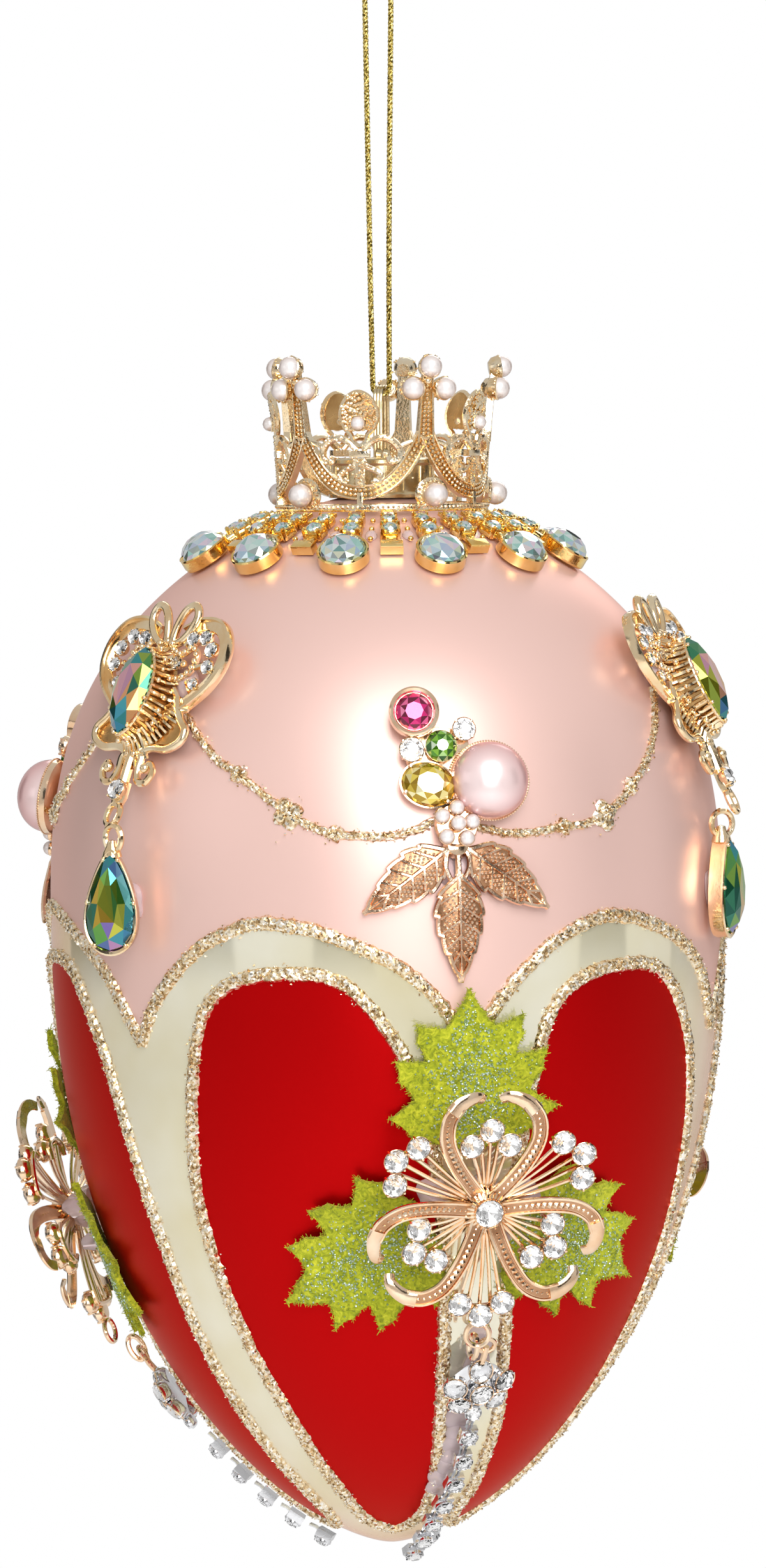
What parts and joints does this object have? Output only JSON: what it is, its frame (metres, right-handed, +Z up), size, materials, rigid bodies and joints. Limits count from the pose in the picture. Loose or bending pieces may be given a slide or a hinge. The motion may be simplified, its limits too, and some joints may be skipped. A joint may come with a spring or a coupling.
{
  "type": "hanging glass egg ornament",
  "caption": "Hanging glass egg with a cast crown, a collar of round stones, jewel brooches, stone sprays, felt leaves, flower brooches and rhinestone chains, on a gold cord loop",
  "frame": {"origin": "top of the cord's loop, where the ornament hangs from a hook", "axes": "+Z up along the egg's axis, crown above and point below; -Y is the front, through the middle of one flower brooch; +X is to the right seen from the front"},
  "size_m": [0.1239, 0.1306, 0.2716],
  "materials": {
    "lacquered_glass": "blown glass, satin pink lacquer above, matte red petals in a pale gold mirror lacquer below, glitter lines",
    "pale_gold": "pale gold plated casting, polished",
    "yellow_gold": "yellow gold plated, polished",
    "rose_gold": "rose gold plated, stamped and polished",
    "gold_thread": "braided metallic gold thread",
    "clear_stone": "faceted clear crystal with a pale rainbow coating",
    "many_colour_stone": "faceted crystal with a green, yellow, blue and pink foil back",
    "ruby_stone": "faceted magenta red stone",
    "yellow_stone": "faceted olive yellow stone",
    "pink_pearl": "pink pearl lacquer",
    "lime_felt": "lime wool felt with fine glass beads",
    "silver": "silver plated cups with clear rhinestones"
  },
  "bodies": {
    "root": {"glass_egg": "lacquered_glass", "cap": "pale_gold", "hanger": "pale_gold", "cord": "gold_thread", "crown": "pale_gold", "collar": "yellow_gold", "collar_stone_01": "clear_stone", "collar_stone_02": "clear_stone", "collar_stone_03": "clear_stone", "collar_stone_04": "clear_stone", "collar_stone_05": "clear_stone", "collar_stone_06": "clear_stone", "collar_stone_07": "clear_stone", "collar_stone_08": "clear_stone", "collar_stone_09": "clear_stone", "collar_stone_10": "clear_stone", "collar_stone_11": "clear_stone", "collar_stone_12": "clear_stone", "jewel_brooch_1": "pale_gold", "jewel_stone_1": "many_colour_stone", "pendant_setting_1": "pale_gold", "pendant_stone_1": "many_colour_stone", "spray_mount_1": "rose_gold", "ruby_stone_1": "ruby_stone", "yellow_stone_1": "yellow_stone", "big_pearl_1": "pink_pearl", "felt_leaf_top_1": "lime_felt", "felt_leaf_left_1": "lime_felt", "felt_leaf_right_1": "lime_felt", "flower_brooch_1": "rose_gold", "rosette_1": "silver", "rhinestone_chain_1": "silver", "jewel_brooch_2": "pale_gold", "jewel_stone_2": "many_colour_stone", "pendant_setting_2": "pale_gold", "pendant_stone_2": "many_colour_stone", "spray_mount_2": "rose_gold", "ruby_stone_2": "ruby_stone", "yellow_stone_2": "yellow_stone", "big_pearl_2": "pink_pearl", "felt_leaf_top_2": "lime_felt", "felt_leaf_left_2": "lime_felt", "felt_leaf_right_2": "lime_felt", "flower_brooch_2": "rose_gold", "rosette_2": "silver", "rhinestone_chain_2": "silver", "jewel_brooch_3": "pale_gold", "jewel_stone_3": "many_colour_stone", "pendant_setting_3": "pale_gold", "pendant_stone_3": "many_colour_stone", "spray_mount_3": "rose_gold", "ruby_stone_3": "ruby_stone", "yellow_stone_3": "yellow_stone", "big_pearl_3": "pink_pearl", "felt_leaf_top_3": "lime_felt", "felt_leaf_left_3": "lime_felt", "felt_leaf_right_3": "lime_felt", "flower_brooch_3": "rose_gold", "rosette_3": "silver", "rhinestone_chain_3": "silver"}
  },
  "joints": []
}
